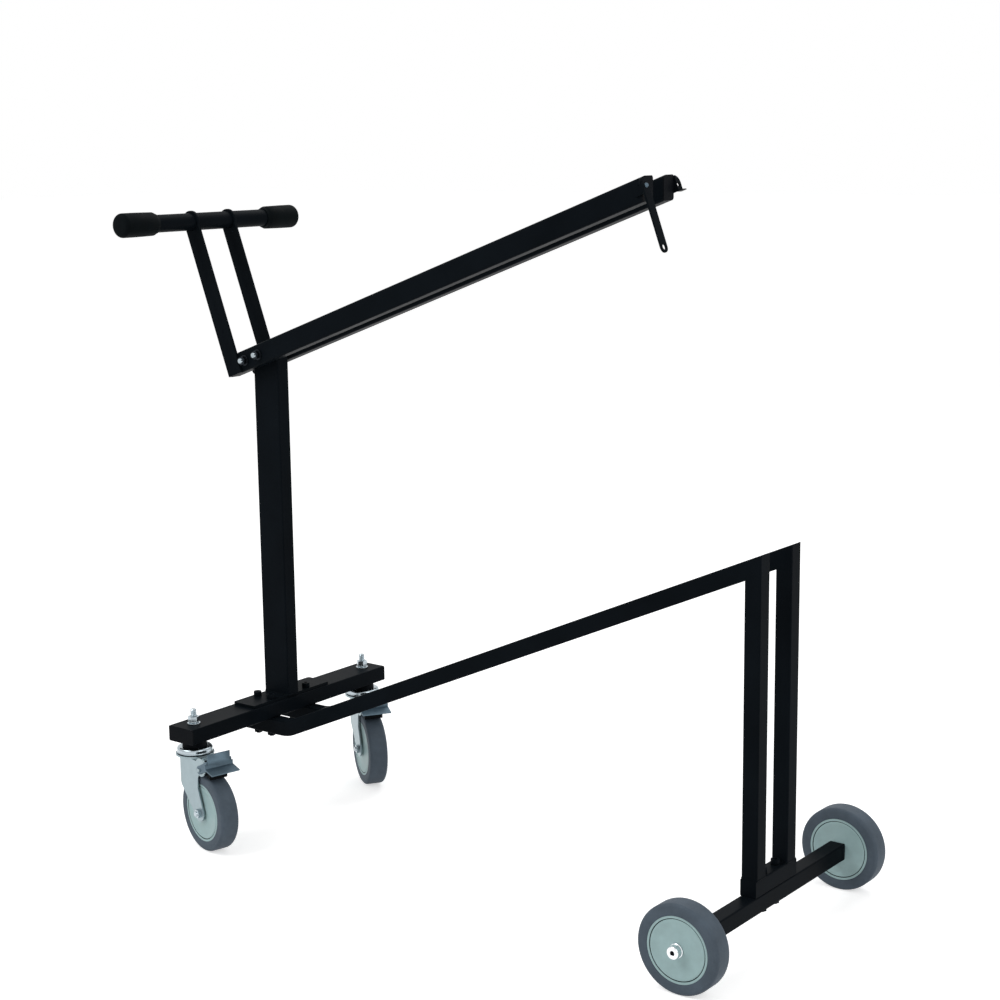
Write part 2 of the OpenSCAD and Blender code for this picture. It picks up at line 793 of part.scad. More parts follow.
// A tyre around the Y axis, with round shoulders
module tyre() {
    shoulder = 5;
    color(tyre_grey) rotate([90, 0, 0]) rotate_extrude($fn = 128) {
        translate([tyre_in, -tyre_w / 2]) square([wheel_r - shoulder - tyre_in, tyre_w]);
        translate([tyre_in, -tyre_w / 2 + shoulder])
            square([wheel_r - tyre_in, tyre_w - 2 * shoulder]);
        for (y = [-1, 1]) translate([wheel_r - shoulder, y * (tyre_w / 2 - shoulder)])
            circle(shoulder);
    }
}

// A wheel's hub: rim, web and boss in one casting
module hub(bore_d, boss_w) {
    web_t = 6;
    color(disc_grey) rotate([90, 0, 0]) rotate_extrude($fn = 128) difference() {
        union() {
            translate([0, -boss_w / 2]) square([boss_r, boss_w]);
            translate([0, -hub_core_w / 2]) square([boss_r + 4, hub_core_w]);
            translate([0, -web_t / 2]) square([tyre_in - 2, web_t]);
            translate([rim_in - 4, -hub_core_w / 2]) square([tyre_in - rim_in + 4, hub_core_w]);
            translate([rim_in, -rim_w / 2]) square([tyre_in - rim_in, rim_w]);
        }
        translate([-1, -boss_w]) square([bore_d / 2 + fit_run + 1, 2 * boss_w]);
    }
}

// The two flat covers on a wheel's sides
module covers() {
    color(disc_grey) for (y = [-1, 1])
        translate([0, y * (hub_w / 2 - cover_t / 2), 0]) rotate([90, 0, 0]) difference() {
            cylinder(r = cover_r, h = cover_t, center = true, $fn = 128);
            cylinder(r = boss_r + fit_plug, h = cover_t + 1, center = true);
        }
}

module at_caster_wheel(side) {
    at_caster(side) translate([trail, 0, wheel_r]) children();
}

module at_rear_wheel(side) {
    translate([axle_x, side * rear_wheel_y, axle_z]) children();
}

// The brake pedal: an upright plate with a curled lip, on two arms at the fork's pins
module brake_pedal(side) {
    arm_y = fork_out + side_gap;
    arm_t = 2;
    lip_l = 23;
    lip_tilt = 14;
    arm_r = 7;
    color(dull_zinc) at_caster(side) difference() {
        union() {
            translate([pedal_face_x, -pedal_w / 2, pedal_low])
                cube([pedal_t, pedal_w, pedal_high - pedal_low]);
            translate([pedal_face_x, -pedal_lip_w / 2, pedal_low])
                cube([pedal_t, pedal_lip_w, (pedal_high - pedal_low) / 3]);
            translate([pedal_face_x, -pedal_lip_w / 2, pedal_low]) rotate([0, lip_tilt, 0])
                cube([lip_l, pedal_lip_w, pedal_t]);
            for (y = [-1, 1])
                translate([0, y > 0 ? arm_y + arm_t : -arm_y, 0]) rotate([90, 0, 0])
                    linear_extrude(arm_t) {
                        translate([pedal_x, pedal_z]) circle(arm_r);
                        polygon([
                            [pedal_x, pedal_z + arm_r], [pedal_x, pedal_z - arm_r],
                            [pedal_face_x + pedal_t, pedal_low - pedal_t],
                            [pedal_face_x + pedal_t, pedal_low + 2 * arm_r]
                        ]);
                    }
        }
        translate([pedal_x, 0, pedal_z]) rotate([90, 0, 0])
            cylinder(r = pin_r + fit_run, h = 4 * fork_out, center = true);
    }
}

// The brake block: a pad under the pedal whose lower face follows the tyre at the brake gap
module brake_block(side) {
    block_l = 16;
    block_top = pedal_low + 8;
    block_low = wheel_d - 20;
    color(plastic) at_caster(side) difference() {
        translate([pedal_face_x - block_l, -tyre_w / 2, block_low])
            cube([block_l - fit_run, tyre_w, block_top - block_low]);
        translate([trail, 0, wheel_r]) rotate([90, 0, 0])
            cylinder(r = wheel_r + brake_gap, h = 2 * tyre_w, center = true, $fn = 128);
    }
}

cross_bar();
tube_end_caps();
mast();
mast_foot_plate();
foot_bolts();
foot_nuts();
lower_beam(-beam_y);  // lower_beam_near
lower_beam(beam_y);  // lower_beam_far
post(-beam_y);  // post_near
post(beam_y);  // post_far
rear_foot_tube();
rear_foot_bolts();
rear_foot_nuts();
axle_beam();
axle_inserts();
axle_bolts();
axle_washers();
axle_caps();
rail(-rail_y);  // rail_near
rail(rail_y);  // rail_far
rail_bolts();
rail_nuts();
rail_spacers();
handle_upright(-upright_y);  // handle_upright_near
handle_upright(upright_y);  // handle_upright_far
handle_bar();
grip(-1);  // grip_near
grip(1);  // grip_far
latch_pivot();
latch_brackets();
end_rivets();
latch_strap();
caster_stem(-1);  // caster_stem_near
caster_stem(1);  // caster_stem_far
caster_collar(-1);  // caster_collar_near
caster_collar(1);  // caster_collar_far
caster_nut(-1);  // caster_nut_near
caster_nut(1);  // caster_nut_far
caster_fork(-1);  // caster_fork_near
caster_fork(1);  // caster_fork_far
caster_balls(-1);  // caster_balls_near
caster_balls(1);  // caster_balls_far
caster_axle(-1);  // caster_axle_near
caster_axle(1);  // caster_axle_far
at_caster_wheel(-1) tyre();  // caster_tyre_near
at_caster_wheel(1) tyre();  // caster_tyre_far
at_caster_wheel(-1) hub(caster_axle_d, caster_boss_w);  // caster_hub_near
at_caster_wheel(1) hub(caster_axle_d, caster_boss_w);  // caster_hub_far
at_caster_wheel(-1) covers();  // caster_covers_near
at_caster_wheel(1) covers();  // caster_covers_far
brake_pedal(-1);  // brake_pedal_near
brake_pedal(1);  // brake_pedal_far
brake_block(-1);  // brake_block_near
brake_block(1);  // brake_block_far
at_rear_wheel(-1) tyre();  // rear_tyre_near
at_rear_wheel(1) tyre();  // rear_tyre_far
at_rear_wheel(-1) hub(rear_axle_d, hub_w);  // rear_hub_near
at_rear_wheel(1) hub(rear_axle_d, hub_w);  // rear_hub_far
at_rear_wheel(-1) covers();  // rear_covers_near
at_rear_wheel(1) covers();  // rear_covers_far
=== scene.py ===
"""Looks of the music stand cart: finishes for its frame and detailed pieces around it."""
import json
import math

import bmesh
import bpy
from mathutils import Matrix, Vector


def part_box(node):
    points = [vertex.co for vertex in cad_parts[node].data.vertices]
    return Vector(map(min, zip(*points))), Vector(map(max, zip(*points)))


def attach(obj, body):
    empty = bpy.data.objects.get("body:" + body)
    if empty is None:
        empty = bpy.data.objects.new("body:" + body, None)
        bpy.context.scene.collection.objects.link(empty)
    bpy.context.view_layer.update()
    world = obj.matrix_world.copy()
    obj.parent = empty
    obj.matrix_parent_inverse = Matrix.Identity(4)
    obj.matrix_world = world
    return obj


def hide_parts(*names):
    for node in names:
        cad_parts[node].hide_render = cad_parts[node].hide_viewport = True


bl_info = {
    "name": "Music Stand Cart",
    "version": (1, 0, 0),
    "blender": (4, 5, 0),
    "location": "View3D > Sidebar > Cart",
    "description": "Finishes and detailed pieces for a rolling music stand cart",
    "category": "Add Mesh",
}

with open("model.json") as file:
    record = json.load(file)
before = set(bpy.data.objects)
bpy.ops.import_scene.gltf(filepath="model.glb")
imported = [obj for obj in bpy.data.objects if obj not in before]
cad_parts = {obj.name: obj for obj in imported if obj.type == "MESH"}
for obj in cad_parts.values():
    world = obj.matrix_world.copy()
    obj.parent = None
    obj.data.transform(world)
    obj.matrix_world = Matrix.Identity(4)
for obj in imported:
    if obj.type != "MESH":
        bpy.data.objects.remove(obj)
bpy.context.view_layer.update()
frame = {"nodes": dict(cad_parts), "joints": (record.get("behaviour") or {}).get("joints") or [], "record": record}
NODES = frame["nodes"]
JOINTS = {joint["name"]: joint for joint in frame["joints"]}
SIDES = ("near", "far")
MM = 0.001
# Steps of a full turn: for wheels and races, for grips, and for stems and caps.
WHEEL_STEPS = 128
GRIP_STEPS = 96
SMALL_STEPS = 64
# Each lamp's name, its place and width in metres, and its power in watts.
LAMPS = (
    ("key_lamp", (-1.6, -2.6, 3.4), 2.2, 62),
    ("side_lamp", (3.2, -0.4, 2.4), 2.0, 25),
    ("back_lamp", (-0.6, 3.0, 3.2), 2.4, 34),
)
LAMP_AIM = (0, 0, 0.5)
# Half the floor's width, in metres.
FLOOR_REACH = 30


class StudioSettings(bpy.types.PropertyGroup):
    """Camera, lamps and floor."""

    lens: bpy.props.FloatProperty(
        name="Lens", description="Focal length of the camera", default=70.09, min=10, unit="CAMERA"
    )
    camera_place: bpy.props.FloatVectorProperty(
        name="Camera place", description="Where the camera stands", size=3, subtype="TRANSLATION",
        default=(1.8008, -2.3003, 1.1239),
    )
    camera_yaw: bpy.props.FloatProperty(
        name="Yaw", description="Turn of the camera to the left", subtype="ANGLE", default=math.radians(37.4)
    )
    camera_pitch: bpy.props.FloatProperty(
        name="Pitch", description="Tilt of the camera down", subtype="ANGLE", default=math.radians(10.6)
    )
    camera_roll: bpy.props.FloatProperty(
        name="Roll", description="Turn of the camera about its view", subtype="ANGLE",
        default=math.radians(-0.7),
    )
    floor_colour: bpy.props.FloatVectorProperty(
        name="Floor", description="Colour of the floor", size=3, subtype="COLOR", default=(0.86, 0.86, 0.86)
    )
    floor_glow: bpy.props.FloatProperty(
        name="Floor glow", description="How far the floor is lifted towards white where it is seen",
        default=0.56, min=0,
    )
    fill: bpy.props.FloatProperty(
        name="Fill", description="Strength of the light from all round", default=0.5, min=0
    )


def length(name, description, millimetres):
    """A length setting, given in millimetres."""
    return bpy.props.FloatProperty(
        name=name, description=description, default=millimetres * MM, min=0, unit="LENGTH"
    )


def tint(name, description, value):
    """A colour setting."""
    return bpy.props.FloatVectorProperty(
        name=name, description=description, size=3, subtype="COLOR", default=value
    )


class WheelSettings(bpy.types.PropertyGroup):
    """Sizes of the four wheels."""

    radius: length("Radius", "Outer radius of a wheel", 63.5)
    tyre_width: length("Tyre width", "Width of a tyre", 32)
    tyre_seat: length("Tyre seat", "Inner radius of a tyre", 47)
    shoulder: length("Shoulder", "Radius of a tyre's shoulders", 5)
    bead: length("Bead", "Rounding of a tyre's inner edges", 1.2)
    rim_inner: length("Rim", "Inner radius of the raised rim beside the tyre", 43.8)
    cover_radius: length("Cover", "Radius of a side cover", 42.6)
    cover_width: length("Cover width", "Distance between the faces of the two covers", 30.6)
    cover_thickness: length("Cover thickness", "Thickness of a side cover", 1.6)
    boss_radius: length("Boss", "Radius of the hub's boss", 9)
    dish: length("Dish", "Depth of a side cover's dish", 0.5)
    cover_edge: length("Cover edge", "Rounding of a side cover's edge", 0.7)
    # The black ring in the groove between a wheel's cover and its rim is painted shade, standing for the shadow in
    # that gap; the next two sizes place it, and the play keeps it clear of cover and rim.
    shade_ring_drop: length("Seal drop", "Depth of the seal below the cover's face", 0.45)
    shade_ring_thickness: length("Shade ring", "Thickness of the black seal", 1)
    play: length("Play", "Gap between a tyre or seal and what it sits on", 0.02)


class CasterSettings(bpy.types.PropertyGroup):
    """Sizes of the casters' stems and races."""

    race_radius: length("Race", "Outer radius of the bearing race", 29)
    race_low: length("Race foot", "Height of the race's lower edge", 153.4)
    race_high: length("Race top", "Height of the race's top", 163.15)
    race_wall: length("Race wall", "Thickness of the race's plate", 2)
    race_lip: length("Race lip", "Radius of the race's rolled lip", 1.1)
    race_shoulder: length("Race shoulder", "Radius of the race's upper edge", 4.2)
    stem_radius: length("Stem", "Radius of the stem", 5)
    stem_foot: length("Stem foot", "Height of the kingpin's lower face", 142.6)
    kingpin_radius: length("Kingpin", "Radius of the kingpin's head", 9.5)
    kingpin_height: length("Kingpin height", "Height of the kingpin's head", 4)
    thread_start: length("Thread start", "Height at which the thread begins", 187)
    thread_pitch: length("Thread pitch", "Pitch of the stem's thread", 1.5)
    thread_depth: length("Thread depth", "Depth of the stem's thread", 0.8)


class FrameSettings(bpy.types.PropertyGroup):
    """Sizes of the welds and of the softened edges."""

    weld_radius: length("Weld", "Radius of a weld bead", 1.5)
    weld_pitch: length("Weld ripple", "Distance between two ripples of a weld", 2.2)
    weld_dip: bpy.props.FloatProperty(
        name="Weld dip", description="Share of a bead's radius that is left between two ripples",
        subtype="FACTOR", default=0.86, min=0, max=1,
    )
    edge: length("Edge", "Width of the rounded edges of plates", 0.5)
    fine_edge: length("Fine edge", "Width of the rounded edges of nuts and screws", 0.35)


class GripSettings(bpy.types.PropertyGroup):
    """Sizes of the handle grips' ends."""

    collar: length("Collar", "Length of the tapered collar", 7)
    collar_drop: length("Collar drop", "How far the collar's end lies below the sleeve", 4.2)
    collar_round: length("Collar round", "Rounding of the collar's end", 1)
    dome: length("Dome", "Radius of the domed end", 7)
    end_wall: length("End wall", "Thickness of the closed end", 6)
    play: length("Play", "Gap between the grip and the bar", 0.1)


class CapSettings(bpy.types.PropertyGroup):
    """Sizes of the chrome caps on the rear axle."""

    depth: length("Depth", "Height of a cap", 12.2)
    edge: length("Edge", "Rounding of a cap's face", 2.2)
    flange: length("Flange", "How far the foot's flange stands out", 0.8)
    wall: length("Wall", "Thickness of a cap at its foot", 3.6)
    face: length("Face", "Thickness of a cap's face", 2)
    # The hole's dark bottom is painted shade: a black disc deep in each cap's hole, standing for the shadow in the
    # recess, though the bolt's end there is zinc.
    hole_shade_depth: length("Hole shade depth", "Depth of the hole's dark bottom", 1.2)


class FinishSettings(bpy.types.PropertyGroup):
    """Colours of the cart's finishes."""

    paint: tint("Paint", "Satin powder coat of the frame", (0.0040, 0.0058, 0.0078))
    plastic: tint("Plastic", "Black plastic of caps, collars and brake blocks", (0.0028, 0.0036, 0.0050))
    grip: tint("Grip", "Rubber of the handle grips", (0.0024, 0.0038, 0.0046))
    tyre: tint("Tyre", "Grey rubber of the tyres", (0.067, 0.090, 0.116))
    disc: tint("Disc", "Pale moulding of hubs and covers", (0.345, 0.49, 0.495))
    zinc: tint("Zinc", "Zinc plate of the forks", (0.29, 0.36, 0.385))
    bright_zinc: tint("Bright zinc", "Zinc of races, stems, nuts and bolts", (0.41, 0.47, 0.505))
    dull_zinc: tint("Dull zinc", "Grey zinc of the brake pedals", (0.100, 0.145, 0.180))
    dark_steel: tint("Dark steel", "Blackened steel of the arm's nuts", (0.022, 0.026, 0.032))
    chrome: tint("Chrome", "Chrome of the axle caps", (0.82, 0.84, 0.86))


def new_material(name):
    """A node material with its shader, and Object coordinates to draw patterns on."""
    material = bpy.data.materials.new(name)
    material.use_nodes = True
    tree = material.node_tree
    shader = tree.nodes["Principled BSDF"]
    coordinates = tree.nodes.new("ShaderNodeTexCoord")
    return material, tree, shader, coordinates.outputs["Object"]


def noise(tree, vector, scale, detail=4.0, roughness=0.55):
    """A noise pattern and its factor output."""
    node = tree.nodes.new("ShaderNodeTexNoise")
    node.inputs["Scale"].default_value = scale
    node.inputs["Detail"].default_value = detail
    node.inputs["Roughness"].default_value = roughness
    tree.links.new(vector, node.inputs["Vector"])
    return node.outputs["Fac"]


def voronoi(tree, vector, scale):
    """A pattern of cells and its distance output."""
    node = tree.nodes.new("ShaderNodeTexVoronoi")
    node.inputs["Scale"].default_value = scale
    tree.links.new(vector, node.inputs["Vector"])
    return node.outputs["Distance"]


def spread(tree, value, low, high, from_low=0.3, from_high=0.7):
    """The value stretched from its usual range to the range that a socket needs."""
    node = tree.nodes.new("ShaderNodeMapRange")
    node.inputs["From Min"].default_value = from_low
    node.inputs["From Max"].default_value = from_high
    node.inputs["To Min"].default_value = low
    node.inputs["To Max"].default_value = high
    tree.links.new(value, node.inputs["Value"])
    return node.outputs["Result"]


def scaled(colour, factor):
    """The colour, lighter or darker."""
    return tuple(min(1.0, part * factor) for part in colour)


def mottled(tree, shader, pattern, colour, dark, light):
    """The base colour wanders between a darker and a lighter tone, by a pattern."""
    node = tree.nodes.new("ShaderNodeMix")
    node.data_type = "RGBA"
    node.inputs["A"].default_value = (*scaled(colour, dark), 1.0)
    node.inputs["B"].default_value = (*scaled(colour, light), 1.0)
    tree.links.new(spread(tree, pattern, 0.0, 1.0), node.inputs["Factor"])
    tree.links.new(node.outputs["Result"], shader.inputs["Base Color"])


def bumps(tree, shader, heights):
    """A chain of bumps on the shader, each a height output with its strength and depth."""
    normal = None
    for height, strength, depth in heights:
        node = tree.nodes.new("ShaderNodeBump")
        node.inputs["Strength"].default_value = strength
        node.inputs["Distance"].default_value = depth
        tree.links.new(height, node.inputs["Height"])
        if normal is not None:
            tree.links.new(normal, node.inputs["Normal"])
        normal = node.outputs["Normal"]
    tree.links.new(normal, shader.inputs["Normal"])


def paint_material(finish):
    """Satin powder coat: near black, with a fine orange peel and faint dust."""
    material, tree, shader, place = new_material("satin_black_paint")
    shader.inputs["Specular IOR Level"].default_value = 0.012
    dust = noise(tree, place, scale=9.0, detail=6.0, roughness=0.6)
    peel = noise(tree, place, scale=320.0, detail=2.0)
    grain = noise(tree, place, scale=1400.0, detail=2.0)
    mottled(tree, shader, dust, finish.paint, 0.85, 1.3)
    tree.links.new(spread(tree, dust, 0.34, 0.44), shader.inputs["Roughness"])
    bumps(tree, shader, [(peel, 0.10, 0.0003), (grain, 0.06, 0.0001)])
    return material


def plastic_material(finish):
    """Black moulded plastic, a little duller than the paint."""
    material, tree, shader, place = new_material("black_plastic")
    shader.inputs["Specular IOR Level"].default_value = 0.04
    cloud = noise(tree, place, scale=40.0)
    grain = noise(tree, place, scale=1800.0, detail=2.0)
    mottled(tree, shader, cloud, finish.plastic, 0.9, 1.35)
    tree.links.new(spread(tree, cloud, 0.48, 0.62), shader.inputs["Roughness"])
    bumps(tree, shader, [(grain, 0.2, 0.0001)])
    return material


def grip_material(finish):
    """Soft black rubber with a fine cellular skin."""
    material, tree, shader, place = new_material("grip_rubber")
    shader.inputs["Specular IOR Level"].default_value = 0.03
    cloud = noise(tree, place, scale=60.0)
    cells = voronoi(tree, place, scale=900.0)
    mottled(tree, shader, cloud, finish.grip, 0.85, 1.4)
    tree.links.new(spread(tree, cloud, 0.55, 0.72), shader.inputs["Roughness"])
    bumps(tree, shader, [(cells, 0.25, 0.0002)])
    return material


def tyre_material(finish):
    """Grey rubber with a dusty bloom and fine scuffs."""
    material, tree, shader, place = new_material("tyre_rubber")
    shader.inputs["Specular IOR Level"].default_value = 0.3
    bloom = noise(tree, place, scale=30.0, detail=6.0, roughness=0.65)
    scuffs = noise(tree, place, scale=420.0, detail=5.0, roughness=0.7)
    mottled(tree, shader, bloom, finish.tyre, 0.84, 1.2)
    tree.links.new(spread(tree, scuffs, 0.55, 0.78), shader.inputs["Roughness"])
    bumps(tree, shader, [(bloom, 0.2, 0.0004), (scuffs, 0.3, 0.0002)])
    return material


def disc_material(finish):
    """Pale moulded plastic with a faint mottle."""
    material, tree, shader, place = new_material("hub_plastic")
    shader.inputs["Specular IOR Level"].default_value = 0.35
    mottle = noise(tree, place, scale=55.0, detail=5.0, roughness=0.6)
    grain = noise(tree, place, scale=1500.0, detail=2.0)
    mottled(tree, shader, mottle, finish.disc, 0.93, 1.07)
    tree.links.new(spread(tree, mottle, 0.36, 0.5), shader.inputs["Roughness"])
    bumps(tree, shader, [(grain, 0.12, 0.0001)])
    return material


def metal_material(name, colour, rough_low, rough_high, spangle_scale, spangle):
    """Plated steel: a cloudy tone, a spangle and faint drawing lines."""
    material, tree, shader, place = new_material(name)
    shader.inputs["Metallic"].default_value = 1.0
    cloud = noise(tree, place, scale=45.0, detail=5.0, roughness=0.6)
    crystals = voronoi(tree, place, scale=spangle_scale)
    mottled(tree, shader, cloud, colour, 1 - spangle, 1 + spangle)
    tree.links.new(spread(tree, crystals, rough_low, rough_high, 0.0, 0.8), shader.inputs["Roughness"])
    bumps(tree, shader, [(cloud, 0.12, 0.0003), (crystals, 0.05, 0.0001)])
    return material


MATERIALS = {}


def make_materials():
    """Every finish, by the record's slot, with the other shades of zinc and steel beside them."""
    finish = bpy.context.scene.cart_finish
    MATERIALS.update({
        "black_paint": paint_material(finish),
        "black_plastic": plastic_material(finish),
        "grip_rubber": grip_material(finish),
        "tyre_rubber": tyre_material(finish),
        "hub_plastic": disc_material(finish),
        "zinc_plate": metal_material("zinc_plate", finish.zinc, 0.28, 0.42, 700.0, 0.06),
        "bright_zinc": metal_material("bright_zinc", finish.bright_zinc, 0.14, 0.26, 600.0, 0.1),
        "dull_zinc": metal_material("dull_zinc", finish.dull_zinc, 0.38, 0.55, 500.0, 0.12),
        "dark_steel": metal_material("dark_steel", finish.dark_steel, 0.22, 0.34, 500.0, 0.2),
        "chrome": metal_material("chrome", finish.chrome, 0.08, 0.14, 300.0, 0.02),
    })


def dress(node, material_name):
    """A CAD node takes a material."""
    mesh = NODES[node].data
    mesh.materials.clear()
    mesh.materials.append(MATERIALS[material_name])


def seen_directly(tree):
    """One where the surface is seen by the camera, in a mirror or through glass, else zero."""
    path = tree.nodes.new("ShaderNodeLightPath")
    seen = path.outputs["Is Camera Ray"]
    for ray in ("Is Glossy Ray", "Is Transmission Ray"):
        either = tree.nodes.new("ShaderNodeMath")
        either.operation = "MAXIMUM"
        tree.links.new(seen, either.inputs[0])
        tree.links.new(path.outputs[ray], either.inputs[1])
        seen = either.outputs[0]
    return seen


def soften(node, width):
    """The edges of a CAD node catch the light: its triangles are joined and its corners rounded."""
    obj = NODES[node]
    weld = obj.modifiers.new("join", "WELD")
    weld.merge_threshold = 0.002 * MM
    planes = obj.modifiers.new("planes", "DECIMATE")
    planes.decimate_type = "DISSOLVE"
    planes.angle_limit = math.radians(0.5)
    edges = obj.modifiers.new("edges", "BEVEL")
    edges.width = width
    edges.segments = 2
    edges.limit_method = "ANGLE"
    edges.angle_limit = math.radians(40)


def lathe(form, profile, steps):
    """A solid of revolution about Z, from a closed profile of radii and heights."""
    points = [form.verts.new((radius, 0, height)) for radius, height in profile]
    lines = [form.edges.new(pair) for pair in zip(points, points[1:] + points[:1])]
    bmesh.ops.spin(
        form, geom=points + lines, cent=(0, 0, 0), axis=(0, 0, 1), angle=math.tau, steps=steps,
        use_merge=True,
    )


def arc(centre, radius, start, end, steps=6):
    """Points of a profile along an arc, its angles in degrees."""
    angles = [math.radians(start + (end - start) * step / steps) for step in range(steps + 1)]
    return [(centre[0] + radius * math.cos(angle), centre[1] + radius * math.sin(angle)) for angle in angles]


def finish_piece(name, form, matrix, body, material, replaced=(), crease=35):
    """A piece from a bmesh: placed, closed, smoothed, dressed and riding on its body."""
    bmesh.ops.remove_doubles(form, verts=form.verts, dist=0.001 * MM)
    bmesh.ops.dissolve_degenerate(form, edges=form.edges, dist=0.001 * MM)
    bmesh.ops.transform(form, matrix=matrix, verts=form.verts)
    bmesh.ops.recalc_face_normals(form, faces=form.faces)
    mesh = bpy.data.meshes.new(name)
    form.to_mesh(mesh)
    form.free()
    mesh.shade_smooth()
    mesh.set_sharp_from_angle(angle=math.radians(crease))
    mesh.materials.append(MATERIALS[material])
    piece = bpy.data.objects.new(name, mesh)
    bpy.context.scene.collection.objects.link(piece)
    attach(piece, body)
    if replaced:
        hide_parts(*replaced)
    return piece


def middle(node):
    """The middle of a node's box."""
    low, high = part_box(node)
    return (low + high) / 2


def axis_frame(place, along):
    """A place whose Z lies along a direction, with its X level where it can be."""
    return Matrix.Translation(place) @ Vector(along).to_track_quat("Z", "Y").to_matrix().to_4x4()


class CART_OT_studio(bpy.types.Operator):
    """Camera at the photo's angle, soft lamps, and a pale floor"""

    bl_idname = "cart.studio"
    bl_label = "Studio"

    def execute(self, context):
        studio = context.scene.cart_studio
        self.add_camera(context, studio)
        self.add_lamps(context)
        self.add_floor(studio)
        self.set_world(context, studio)
        context.scene.view_settings.view_transform = "Standard"
        return {"FINISHED"}

    def add_camera(self, context, studio):
        """The camera, turned by its yaw, pitch and roll."""
        yaw, pitch, roll = studio.camera_yaw, studio.camera_pitch, studio.camera_roll
        ahead = Vector((-math.sin(yaw) * math.cos(pitch), math.cos(yaw) * math.cos(pitch), -math.sin(pitch)))
        level = Vector((math.cos(yaw), math.sin(yaw), 0))
        upright = level.cross(ahead)
        right = math.cos(roll) * level + math.sin(roll) * upright
        up = -math.sin(roll) * level + math.cos(roll) * upright
        data = bpy.data.cameras.new("camera")
        data.lens = studio.lens
        data.sensor_width = 36
        data.clip_end = 100
        camera = bpy.data.objects.new("camera", data)
        context.scene.collection.objects.link(camera)
        camera.matrix_world = Matrix.Translation(studio.camera_place) @ Matrix(
            (right, up, -ahead)
        ).transposed().to_4x4()
        context.scene.camera = camera

    def add_lamps(self, context):
        """Round soft lamps, all turned to the middle of the cart."""
        for name, place, width, power in LAMPS:
            data = bpy.data.lights.new(name, "AREA")
            data.shape = "DISK"
            data.size = width
            data.energy = power
            lamp = bpy.data.objects.new(name, data)
            context.scene.collection.objects.link(lamp)
            lamp.location = place
            lamp.rotation_euler = (Vector(LAMP_AIM) - Vector(place)).to_track_quat("-Z", "Y").to_euler()

    def add_floor(self, studio):
        """A pale floor that glows a little where it is seen, so that it meets the white world."""
        mesh = bpy.data.meshes.new("floor")
        form = bmesh.new()
        bmesh.ops.create_grid(form, x_segments=1, y_segments=1, size=FLOOR_REACH)
        form.to_mesh(mesh)
        form.free()
        floor = bpy.data.objects.new("floor", mesh)
        bpy.context.scene.collection.objects.link(floor)
        material, tree, shader, _ = new_material("floor")
        shader.inputs["Base Color"].default_value = (*studio.floor_colour, 1.0)
        shader.inputs["Roughness"].default_value = 0.9
        shader.inputs["Specular IOR Level"].default_value = 0.1
        shader.inputs["Emission Color"].default_value = (1, 1, 1, 1)
        glow = tree.nodes.new("ShaderNodeMath")
        glow.operation = "MULTIPLY"
        glow.inputs[1].default_value = studio.floor_glow
        tree.links.new(seen_directly(tree), glow.inputs[0])
        tree.links.new(glow.outputs[0], shader.inputs["Emission Strength"])
        mesh.materials.append(material)

    def set_world(self, context, studio):
        """A white world where it is seen, and a weaker light from all round elsewhere."""
        world = bpy.data.worlds.new("studio")
        context.scene.world = world
        world.use_nodes = True
        tree = world.node_tree
        background = tree.nodes["Background"]
        background.inputs["Color"].default_value = (1, 1, 1, 1)
        strength = tree.nodes.new("ShaderNodeMapRange")
        strength.inputs["To Min"].default_value = studio.fill
        strength.inputs["To Max"].default_value = 1.0
        tree.links.new(seen_directly(tree), strength.inputs["Value"])
        tree.links.new(strength.outputs["Result"], background.inputs["Strength"])


class CART_OT_finishes(bpy.types.Operator):
    """Every frame node's finish"""

    bl_idname = "cart.finishes"
    bl_label = "Finishes"

    def execute(self, context):
        make_materials()
        bright = ("rail_bolts", "axle_bolts", "axle_washers")
        bright += tuple(f"{kind}_{side}" for kind in ("caster_nut", "caster_axle") for side in SIDES)
        for entry in frame["record"]["subparts"]:
            name, slot = entry["node"], entry["material_slot"]
            if name.startswith("brake_pedal") or name == "latch_pivot":
                slot = "dull_zinc"
            elif name == "end_rivets":
                slot = "black_paint"
            elif name == "rail_nuts":
                slot = "dark_steel"
            elif name in bright:
                slot = "bright_zinc"
            dress(name, slot)
        return {"FINISHED"}


class CART_OT_edges(bpy.types.Operator):
    """Rounded edges on plates, caps, forks and fasteners"""

    bl_idname = "cart.edges"
    bl_label = "Edges"

    def execute(self, context):
        sizes = context.scene.cart_frame
        plates = ["tube_end_caps", "mast_foot_plate", "handle_upright_near", "handle_upright_far",
                  "latch_brackets", "latch_strap"]
        pressings = ("caster_fork", "brake_pedal", "brake_block")
        plates += [f"{kind}_{side}" for kind in pressings for side in SIDES]
        fasteners = ["foot_bolts", "foot_nuts", "rear_foot_bolts", "rear_foot_nuts", "rail_bolts",
                     "rail_nuts"]
        fasteners += [f"{kind}_{side}" for kind in ("caster_nut", "caster_axle") for side in SIDES]
        for node in plates:
            soften(node, sizes.edge)
        for node in fasteners:
            soften(node, sizes.fine_edge)
        return {"FINISHED"}


